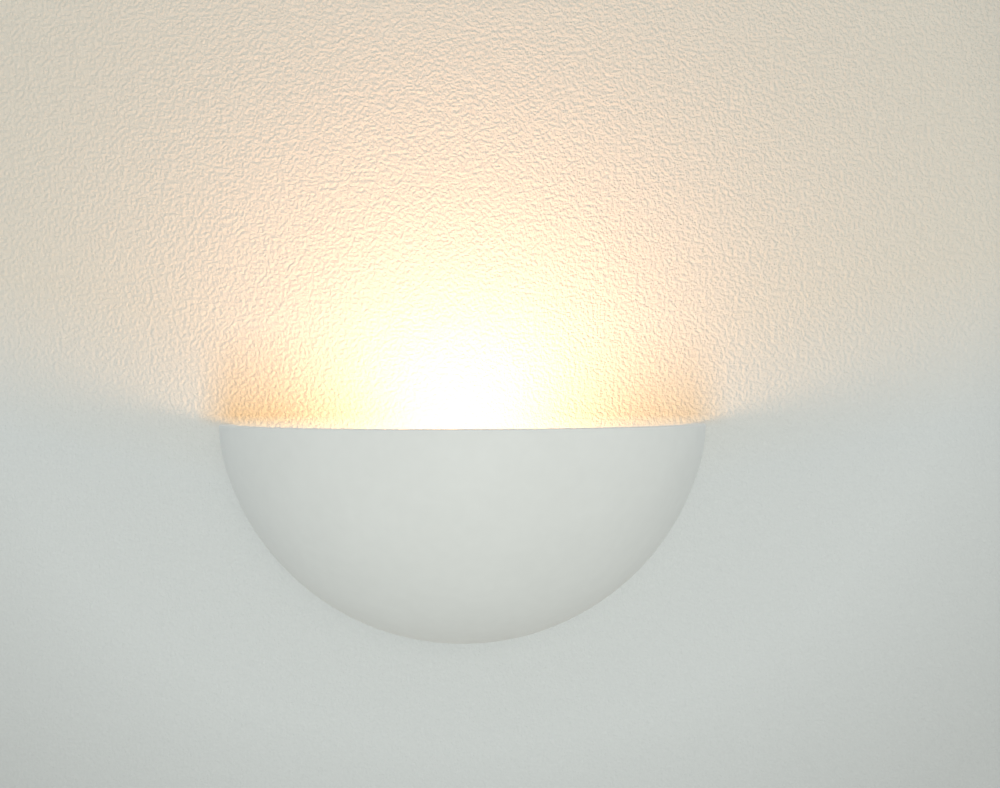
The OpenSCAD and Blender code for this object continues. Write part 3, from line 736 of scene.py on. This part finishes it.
def drill(obj, x, radius, depth):
    """Bores a round hole square to the wall, at the height of the studs."""
    bpy.ops.object.select_all(action="DESELECT")
    bpy.ops.mesh.primitive_cylinder_add(
        vertices=40, radius=radius * MM, depth=depth * MM,
        location=Vector((x, -depth / 2, 0)) * MM, rotation=(math.pi / 2, 0, 0))
    bit = bpy.context.object
    bpy.ops.object.transform_apply()
    merge_in(obj, bit, "DIFFERENCE")


def merge_in(obj, other, operation):
    """Joins another shape to obj, or cuts it out, and removes it."""
    finish_with(obj, "BOOLEAN", object=other, operation=operation, solver="EXACT")
    bpy.data.objects.remove(other)


def make_bowl():
    """The plaster half-bowl, cut flat at the wall, with its two lugs cast in."""
    swing, steps = 81, 168      # it is turned this far to each side, in degrees, and cut back
    foot = Vector((0, AXIS_BACK, 0))
    start = Vector((math.sin(math.radians(swing)), -math.cos(math.radians(swing)), 0))
    bowl = lathe("plaster_bowl", bowl_outline(), foot, UP, start, steps, 2 * swing)
    with editing(bowl):
        bpy.ops.mesh.bisect(plane_co=ORIGIN, plane_no=-ROOM, use_fill=True, clear_outer=True)
        close_up()
    for side in (-1, 1):
        merge_in(bowl, make_lug(side), "UNION")
        drill(bowl, side * STUD_X, STUD_HOLE_R, LUG_FRONT + 4)
    smooth(bowl, 28)
    place(bowl, "bowl_set", "plaster", "bowl")


# ---- Studs and finger nuts ----

def make_studs():
    """Two threaded studs on the strap, each with a round flange and a pointed end."""
    front = -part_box("bowl_studs")[0].y / MM
    flange, flange_r, ease, tip = STRAP_T + 1.2, 5, 0.3, 0.8
    rows_per_turn = 11
    rows = round((front - tip - flange) / STUD_PITCH * rows_per_turn)
    outline = [(0, STRAP_T), (flange_r - ease, STRAP_T), (flange_r, STRAP_T + ease)]
    outline += [(flange_r, flange - ease), (flange_r - ease, flange)]
    outline += evenly((STUD_R, flange), (STUD_R, front - tip), rows)
    outline += [(STUD_R - tip, front), (0, front)]
    studs = []
    for side in (-1, 1):
        foot = Vector((side * STUD_X, 0, 0))
        stud = lathe("threaded_stud", outline, foot, ROOM, RIGHT, 48)
        thread = cut_thread(STUD_PITCH, STUD_THREAD, flange + 0.4, front - tip + 0.3, STUD_R - 0.1)
        push_radially(stud, foot, ROOM, RIGHT,
                      lambda r, h, t, thread=thread: thread(r, h, t) if r < STUD_R + 0.1 else 0)
        studs.append(stud)
    activate(studs[0])
    studs[1].select_set(True)
    bpy.ops.object.join()
    studs[0].name = "threaded_studs"
    smooth(studs[0], 40)
    place(studs[0], "wall_frame", "bright_screw", "bowl_studs")


def make_finger_nuts():
    """Brass finger nuts with a straight knurl, modelled once and copied."""
    ridges, knurl = 56, 0.45    # how many, and how deep
    clear = 0.03                # kept free of the washer behind the nut
    low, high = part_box("knurled_nut_left")
    back, front = clear - high.y / MM, -low.y / MM
    head_r, boss_r, boss = 10, 6, back + 3 - clear
    bore, edge, shoulder, ease = STUD_R + 0.05, 0.4, 0.9, 0.35
    # the mouth of the bore and the boss, the head's underside, its rim, and its recessed face
    outline = [(bore, back + edge), (bore + 0.5, back), (boss_r - edge, back), (boss_r, back + edge)]
    outline += [(boss_r, boss), (head_r - 1.2, boss), (head_r - 0.5, boss + ease)]
    outline += evenly((head_r, boss + shoulder), (head_r, front - shoulder), 4)
    outline += [(head_r - 0.5, front - ease), (head_r - 1.2, front), (bore + 1.8, front)]
    outline += [(bore + 1.3, front - ease), (bore + 0.6, front - ease), (bore, front - shoulder)]
    outline += [outline[0]]
    foot = Vector((-STUD_X, 0, 0))
    nut = lathe("finger_nut_left", outline, foot, ROOM, RIGHT, 2 * ridges)

    def knurled(radius, height, turns):
        groove = round(turns * 2 * ridges) % 2
        return groove * knurl if radius > head_r - 0.2 else 0

    push_radially(nut, foot, ROOM, RIGHT, knurled)
    smooth(nut, 30)
    twin = nut.copy()
    twin.data = nut.data.copy()
    twin.name = "finger_nut_right"
    bpy.context.scene.collection.objects.link(twin)
    with editing(twin):
        bpy.ops.transform.translate(value=RIGHT * 2 * STUD_X * MM)
    finish = turned_brass()
    place(nut, "left_nut", "brass", "knurled_nut_left", finish=finish)
    place(twin, "right_nut", "brass", "knurled_nut_right", finish=finish)


# ---- Lamp and lampholder thread ----

def globe_side(inset):
    """One side of the lamp's glass: neck, a soft bend, a cone that touches the globe, the globe."""
    radius, slope = BULB_R - inset, math.radians(NECK_ANGLE)
    neck_r = CAP_R + CAP_FLARE - CAP_WALL - GLASS_FIT - inset
    touch = (radius * math.cos(slope), light_z - radius * math.sin(slope))
    neck_z = touch[1] - (touch[0] - neck_r) / math.tan(slope)
    bend = [(neck_r, neck_z - 3), (neck_r + 0.12, neck_z - 0.9), (neck_r + 1.05, neck_z + 1.35)]
    side = [(neck_r, glass_low)] + bend + evenly(bend[-1], touch, 4)[1:]
    side += arc((0, light_z), radius, -NECK_ANGLE, 90, 44)[1:]
    return side[:-1] + [(0, light_z + radius)]


def make_globe():
    """The frosted globe and its neck, with real thickness."""
    outline = globe_side(GLASS_T)[::-1] + globe_side(0)
    globe = lathe("lamp_globe", outline, LAMP_FOOT, UP, RIGHT, 96)
    smooth(globe, 50)
    place(globe, "lamp", "frosted_glass", "lamp_glass")


def cap_side(inset):
    """One side of the lamp's cap: foot, threaded sleeve, and the flare that holds the glass."""
    outer, flared, neck = CAP_R - inset, CAP_R + CAP_FLARE - inset, cap_low + CAP_SLEEVE
    side = [(outer - 1.6, cap_low + inset), (outer - CAP_FOOT, cap_low + inset * 0.9)]
    side += evenly((outer, cap_low + CAP_FOOT), (outer, neck), 44)
    side += [(flared - 0.35, neck + 1.1), (flared, neck + 1.7)]
    return side + [(flared, cap_high - 0.5), (flared, cap_high)]


def make_cap():
    """The nickel-plated screw cap, with its rolled thread."""
    thread_top = cap_low + CAP_SLEEVE - 0.5
    outline = cap_side(CAP_WALL)[::-1] + cap_side(0)
    cap = lathe("screw_cap", outline + outline[:1], LAMP_FOOT, UP, RIGHT, 72)
    thread = rounded_thread(CAP_PITCH, CAP_THREAD, cap_low + CAP_FOOT, thread_top)
    push_radially(cap, LAMP_FOOT, UP, RIGHT, thread)
    smooth(cap, 50)
    place(cap, "lamp", "nickel", "lamp_cap")


def make_holder_thread():
    """The lampholder's brass thread, pressed to the same wave as the cap's."""
    inner, wall, ledge, rows = CAP_R + HOLDER_FIT, 0.5, 0.7, 48
    outline = evenly((inner, shell_low + wall), (inner, shell_high), rows)
    outline += evenly((inner + wall, shell_high), (inner + wall, shell_low), rows)
    outline += [(inner - ledge, shell_low), (inner - ledge, shell_low + wall), outline[0]]
    shell = lathe("holder_thread", outline, LAMP_FOOT, UP, RIGHT, 72)
    thread = rounded_thread(CAP_PITCH, CAP_THREAD, cap_low + CAP_FOOT, shell_high - 1.2)
    push_radially(shell, LAMP_FOOT, UP, RIGHT, thread)
    smooth(shell, 50)
    place(shell, "wall_frame", "brass", "thread_shell")


# ---- Leads ----

LEAD_R = 1.3
BLOCK_X = 62            # the terminal block's middle pole, and from pole to pole
POLE_PITCH = 11
TUBE_Y = 7.5            # its tubes are this far from the wall
HOLDER_R = 13
PORT_X = 5.5            # the lampholder's two ports are this far to the side
EARTH_X = 38
holder_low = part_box("holder_body")[0].z / MM
PORT_BACK = -LAMP_OUT + HOLDER_R
port_z = holder_low + 2.6


def lead_start(pole):
    """The two points by which a lead comes down out of its terminal."""
    x = BLOCK_X + pole * POLE_PITCH
    return [(x, -TUBE_Y, -5), (x, -TUBE_Y, -14)]


LIVE = lead_start(0) + [
    (60, -9, -26), (50, -13, -38), (32, -17, -47), (14, -17, -52.5),
    (PORT_X + 1, PORT_BACK + 13, port_z + 0.4), (PORT_X, PORT_BACK + 7, port_z),
    (PORT_X, PORT_BACK + 1, port_z), (PORT_X, PORT_BACK - 4, port_z)]
NEUTRAL = lead_start(1) + [
    (71, -9, -30), (60, -13, -43), (36, -13, -52), (12, -11, -56), (-2, -13, -57),
    (-PORT_X, PORT_BACK + 11, port_z - 0.8), (-PORT_X, PORT_BACK + 6, port_z),
    (-PORT_X, PORT_BACK + 1, port_z), (-PORT_X, PORT_BACK - 4, port_z)]
EARTH = lead_start(-1) + [
    (BLOCK_X - POLE_PITCH - 1, -TUBE_Y - 0.5, -24), (46, -8, -30.5), (41.5, -7.5, -30.5),
    (EARTH_X + 0.2, -6.5, -26), (EARTH_X, -6.5, -22.5), (EARTH_X, -6.5, -19)]


def smooth_route(points, steps):
    """A smooth curve through every point of the route."""
    route = [Vector(p) for p in points]
    ends = [route[0]] + route + [route[-1]]
    made = []
    for a, b, c, d in zip(ends, ends[1:], ends[2:], ends[3:]):
        for i in range(steps):
            t = i / steps
            made.append(0.5 * (2 * b + (c - a) * t + (2 * a - 5 * b + 4 * c - d) * t * t
                               + (3 * b - a - 3 * c + d) * t ** 3))
    return made + [route[-1]]


def make_lead(name, points, slot, node_name):
    """A round lead swept along its route, with a mark for which side of it faces the stripe."""
    around, steps = 20, 8
    route = smooth_route(points, steps)
    bpy.ops.object.select_all(action="DESELECT")
    bpy.ops.mesh.primitive_circle_add(vertices=around, radius=LEAD_R * MM, fill_type="NGON",
                                      location=route[0] * MM)
    lead = bpy.context.object
    lead.name = name
    bpy.ops.object.transform_apply()
    heading = -UP       # a lead comes down out of its terminal
    with editing(lead):
        for here, there, after in zip(route, route[1:], route[2:] + route[-1:]):
            bpy.ops.mesh.extrude_region_move(TRANSFORM_OT_translate={"value": (there - here) * MM})
            onward = (after - here).normalized()
            turn = heading.rotation_difference(onward)
            mesh = bmesh.from_edit_mesh(lead.data)
            front = [v for v in mesh.verts if v.select]
            bmesh.ops.rotate(mesh, verts=front, cent=there * MM, matrix=turn.to_matrix())
            bmesh.update_edit_mesh(lead.data)
            heading = onward
        close_up()
    smooth(lead, 60)
    mark = lead.data.attributes.new(STRIPE, "FLOAT", "POINT")
    for index in range(len(lead.data.vertices)):
        mark.data[index].value = 1.0 if index % around < around // 2 else 0.0
    place(lead, "wall_frame", slot, node_name)


def make_leads():
    """The three leads inside, each in its own colours."""
    make_lead("live_wire", LIVE, "brown_lead", "live_lead")
    make_lead("neutral_wire", NEUTRAL, "blue_lead", "neutral_lead")
    make_lead("earth_wire", EARTH, "earth_lead", "earth_lead")


# ---- Pressings, mouldings and screws, eased at their edges ----

EASED = {                # node: its body, its finish, and the width of its eased edge in mm
    "wall_plate": ("wall_frame", "zinc_steel", 0.35),
    "holder_bracket": ("wall_frame", "zinc_steel", 0.35),
    "holder_body": ("wall_frame", "porcelain", 0.45),
    "holder_screws": ("wall_frame", "bright_screw", 0.15),
    "terminal_body": ("wall_frame", "white_nylon", 0.3),
    "terminal_clamp_screws": ("wall_frame", "bright_screw", 0.12),
    "terminal_fixing_screws": ("wall_frame", "bright_screw", 0.15),
    "earth_lug": ("wall_frame", "nickel", 0.12),
    "earth_washer": ("wall_frame", "bright_screw", 0.12),
    "earth_screw": ("wall_frame", "brass", 0.18),
    "hanger_plates": ("bowl_set", "zinc_steel", 0.25),
    "hanger_plate_screws": ("bowl_set", "bright_screw", 0.18),
    "cushion_washers": ("bowl_set", "red_fibre", 0.25),
    "nut_washer_left": ("left_washer", "bright_screw", 0.2),
    "nut_washer_right": ("right_washer", "bright_screw", 0.2),
}


def make_eased_pieces():
    """Stands an eased copy in for each of those nodes."""
    for name, (body, slot, width) in EASED.items():
        place(rounded_copy(name, width), body, slot, name)


def paint_kept_nodes():
    """Gives each CAD node that still shows its detailed finish."""
    for obj in frame["nodes"].values():
        if obj.hide_render:
            continue
        for holder in obj.material_slots:
            holder.material = FINISHES[holder.material.name.split(".")[0]]


# ---- Stage ----

# Distances on the wall are in metres here, from the part's own origin.

WALL_PAINT = (0.33, 0.336, 0.322, 1)
PAINTED_LIGHT_LOW = (0.89, 0.965, 0.955, 1)      # painted lamp light in the wall's own glow: below the rim, above it, and along it
PAINTED_LIGHT_HIGH = (0.97, 0.915, 0.74, 1)
PAINTED_LIGHT_RIM = (0.90, 0.46, 0.03, 1)
# the middle of the painted light; the wall is painted darker away from it
PAINTED_LIGHT_MIDDLE = (0, 0, 0.16)
RIM_TOP = 0.036
RIM_END = 0.155


def painted_rim_light(tree, side, height, aside):
    """Where amber lamp light is painted on the wall: just above the rim, and most of all near its two
    ends.
    """
    ends = mapped(tree, aside, 0.03, 0.12, 0.2, 1)
    left_first = mapped(tree, side, -0.15, 0.15, 1.1, 0.75)
    past_end = mapped(tree, aside, RIM_END - 0.009, RIM_END + 0.015, 1, 0)
    from_rim = mapped(tree, height, RIM_TOP - 0.002, RIM_TOP + 0.006)
    upwards = mapped(tree, height, RIM_TOP, 0.10, 0.95, 0)
    band = ends
    for fading in (left_first, past_end, from_rim, upwards):
        band = maths(tree, "MULTIPLY", band, fading)
    return band


def wall_finish():
    """Pale painted wall with a fine stipple, seen from the room's side only.

    Its glow has the lamp's light painted in: warmer higher up, above the painted edge of the bowl's
    shadow, a painted amber light along the rim, and painted shade far from the light.
    """
    f = Finish("Stage wall", roughness=0.9, specular_ior_level=0.1, emission_strength=0.33)
    f.shader.inputs["Base Color"].default_value = WALL_PAINT
    spot = node(f.tree, "SeparateXYZ", {0: f.where}).outputs
    height, aside = spot["Z"], maths(f.tree, "ABSOLUTE", spot["X"], 0.0)
    slope, reach = 0.23, 0.3        # the painted edge of the bowl's shadow climbs outwards from the rim's end
    shadow = mapped(f.tree, aside, RIM_END, RIM_END + reach, 0, slope * reach)
    # painted lamp light: the wall's glow turns warm above the painted edge of the bowl's shadow
    higher = mapped(f.tree, maths(f.tree, "SUBTRACT", height, shadow), 0.0, 0.10)
    glow = blended(f.tree, higher, PAINTED_LIGHT_LOW, PAINTED_LIGHT_HIGH)
    glow = blended(f.tree, painted_rim_light(f.tree, spot["X"], height, aside), glow, PAINTED_LIGHT_RIM)
    # painted shade: the glow falls off away from the middle of the painted light
    far = node(f.tree, "VectorMath", {0: f.where, 1: PAINTED_LIGHT_MIDDLE}, operation="DISTANCE")
    shaded = node(f.tree, "VectorMath", {0: glow}, operation="SCALE")
    f.tree.links.new(mapped(f.tree, far.outputs["Value"], 0.33, 0.47, 1, 0.65), shaded.inputs["Scale"])
    f.set("Emission Color", shaded.outputs[0])
    stipple = node(f.tree, "TexNoise", {"Vector": f.where, "Scale": 430.0, "Detail": 3.0}).outputs["Fac"]
    raked = mapped(f.tree, height, 0.0, 0.25, 0.4, 1)
    f.bump(maths(f.tree, "MULTIPLY", mapped(f.tree, stipple, 0.35, 0.65), raked), 0.9)
    from_behind = node(f.tree, "NewGeometry").outputs["Backfacing"]
    camera = node(f.tree, "LightPath").outputs["Is Camera Ray"]
    unseen = maths(f.tree, "MAXIMUM", from_behind, maths(f.tree, "SUBTRACT", 1.0, camera))
    clear = node(f.tree, "BsdfTransparent").outputs[0]
    shown = node(f.tree, "MixShader", {0: unseen, 1: f.shader.outputs[0], 2: clear})
    f.tree.links.new(shown.outputs[0], f.tree.nodes["Material Output"].inputs["Surface"])
    return f.material


def floor_finish():
    """Plain pale floor."""
    f = Finish("Stage floor", roughness=0.85, specular_ior_level=0.1)
    f.shader.inputs["Base Color"].default_value = (0.72, 0.72, 0.70, 1)
    return f.material


def make_stage():
    """A floor, and a wall just behind the light."""
    floor_z, floor_size, wall_height, wall_stretch = -0.5, 6, 2.0, 1.6
    bpy.ops.object.select_all(action="DESELECT")
    bpy.ops.mesh.primitive_plane_add(size=floor_size, location=(0, 0, floor_z))
    floor = bpy.context.object
    floor.name = "Floor"
    floor.data.materials.append(floor_finish())
    bpy.ops.mesh.primitive_plane_add(size=wall_height, rotation=(math.pi / 2, 0, 0),
                                     location=(0, 0.3 * MM, floor_z + wall_height / 2))
    wall = bpy.context.object
    wall.name = "Wall"
    bpy.ops.transform.resize(value=(wall_stretch, 1, 1))
    bpy.ops.object.transform_apply()
    wall.data.materials.append(wall_finish())
    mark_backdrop(floor, wall)
    return wall


SKY_ROOM = (0.475, 0.492, 0.505, 1)
SKY_WALL = (0.86, 0.895, 0.89, 1)
SKY_SEEN = (0.76, 0.775, 0.78, 1)


def add_light(name, at, aim, size, power, colour):
    """A square lamp that shines from one point to another and isn't seen itself."""
    bpy.ops.object.light_add(type="AREA", location=at)
    light = bpy.context.object
    light.name = name
    light.rotation_euler = (Vector(aim) - Vector(at)).to_track_quat("-Z", "Y").to_euler()
    light.data.size = size
    light.data.energy = power
    light.data.color = colour
    light.visible_camera = False
    return light


def light_stage():
    """Soft studio light: an even sky, two wide lamps in front, and the lit wall's own bounce."""
    bowl_middle = (0, 0, -0.03)
    light_sky()
    add_light("Key", at=(0.24, -1.7, 0.25), aim=bowl_middle, size=1.5, power=11.3,
              colour=(1, 0.965, 0.89))
    add_light("Fill", at=(-0.5, -1.4, -0.9), aim=bowl_middle, size=1.4, power=13.9,
              colour=(0.92, 0.985, 1))
    glow = add_light("Wall bounce", at=(0, -0.004, 0.13), aim=(0, -1, -0.15), size=0.32, power=0.24,
                     colour=(1, 0.52, 0.18))
    glow.data.shape = "RECTANGLE"


def light_sky():
    """An even pale sky, a little brighter from the wall's side, whose own bounce it stands for."""
    world = bpy.context.scene.world or bpy.data.worlds.new("World")
    bpy.context.scene.world = world
    world.use_nodes = True
    tree = world.node_tree
    direction = node(tree, "TexCoord").outputs["Generated"]
    from_wall = node(tree, "SeparateXYZ", {0: direction}).outputs["Y"]
    tone = blended(tree, mapped(tree, from_wall, -0.15, 0.15), SKY_ROOM, SKY_WALL)
    path = node(tree, "LightPath").outputs
    seen = maths(tree, "MAXIMUM", path["Is Glossy Ray"], path["Is Transmission Ray"])
    seen = maths(tree, "MAXIMUM", path["Is Camera Ray"], seen)
    tree.links.new(blended(tree, seen, tone, SKY_SEEN), tree.nodes["Background"].inputs["Color"])


def light_lamp(wall):
    """The lamp's own light: a strong one kept to the wall, and a mild one for the bowl and fittings."""
    wall_set = bpy.data.collections.new("Wall alone")
    wall_set.objects.link(wall)
    beam = add_light("Bowl bounce", at=(0, -0.11, 0.032), aim=(0, -0.11, 1), size=0.12, power=1.22,
                     colour=(1, 0.46, 0.25))
    beam.light_linking.receiver_collection = wall_set
    beam.light_linking.blocker_collection = wall_set
    fittings = bpy.data.collections.new("All but the lamp")
    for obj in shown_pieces():
        if body_of(obj) != ["lamp"]:
            fittings.objects.link(obj)
    for name, power, colour, lit in (("Uplight", 2.6, (1, 0.54, 0.22), wall_set),
                                     ("Inner light", 0.32, (1, 0.68, 0.36), fittings)):
        bpy.ops.object.light_add(type="POINT", location=Vector((0, -LAMP_OUT, light_z)) * MM)
        light = bpy.context.object
        light.name = name
        light.visible_camera = False
        light.data.shadow_soft_size = BULB_R * MM
        light.data.energy = power
        light.data.color = colour
        light.light_linking.receiver_collection = lit
        light.light_linking.blocker_collection = fittings


# ---- Build ----

make_camera()
make_bowl()
make_studs()
make_finger_nuts()
make_globe()
make_cap()
make_holder_thread()
make_leads()
make_eased_pieces()
paint_kept_nodes()
wall = make_stage()
light_stage()
light_lamp(wall)

scene = bpy.context.scene
scene.view_settings.view_transform = "Standard"
bpy.context.view_layer.update()
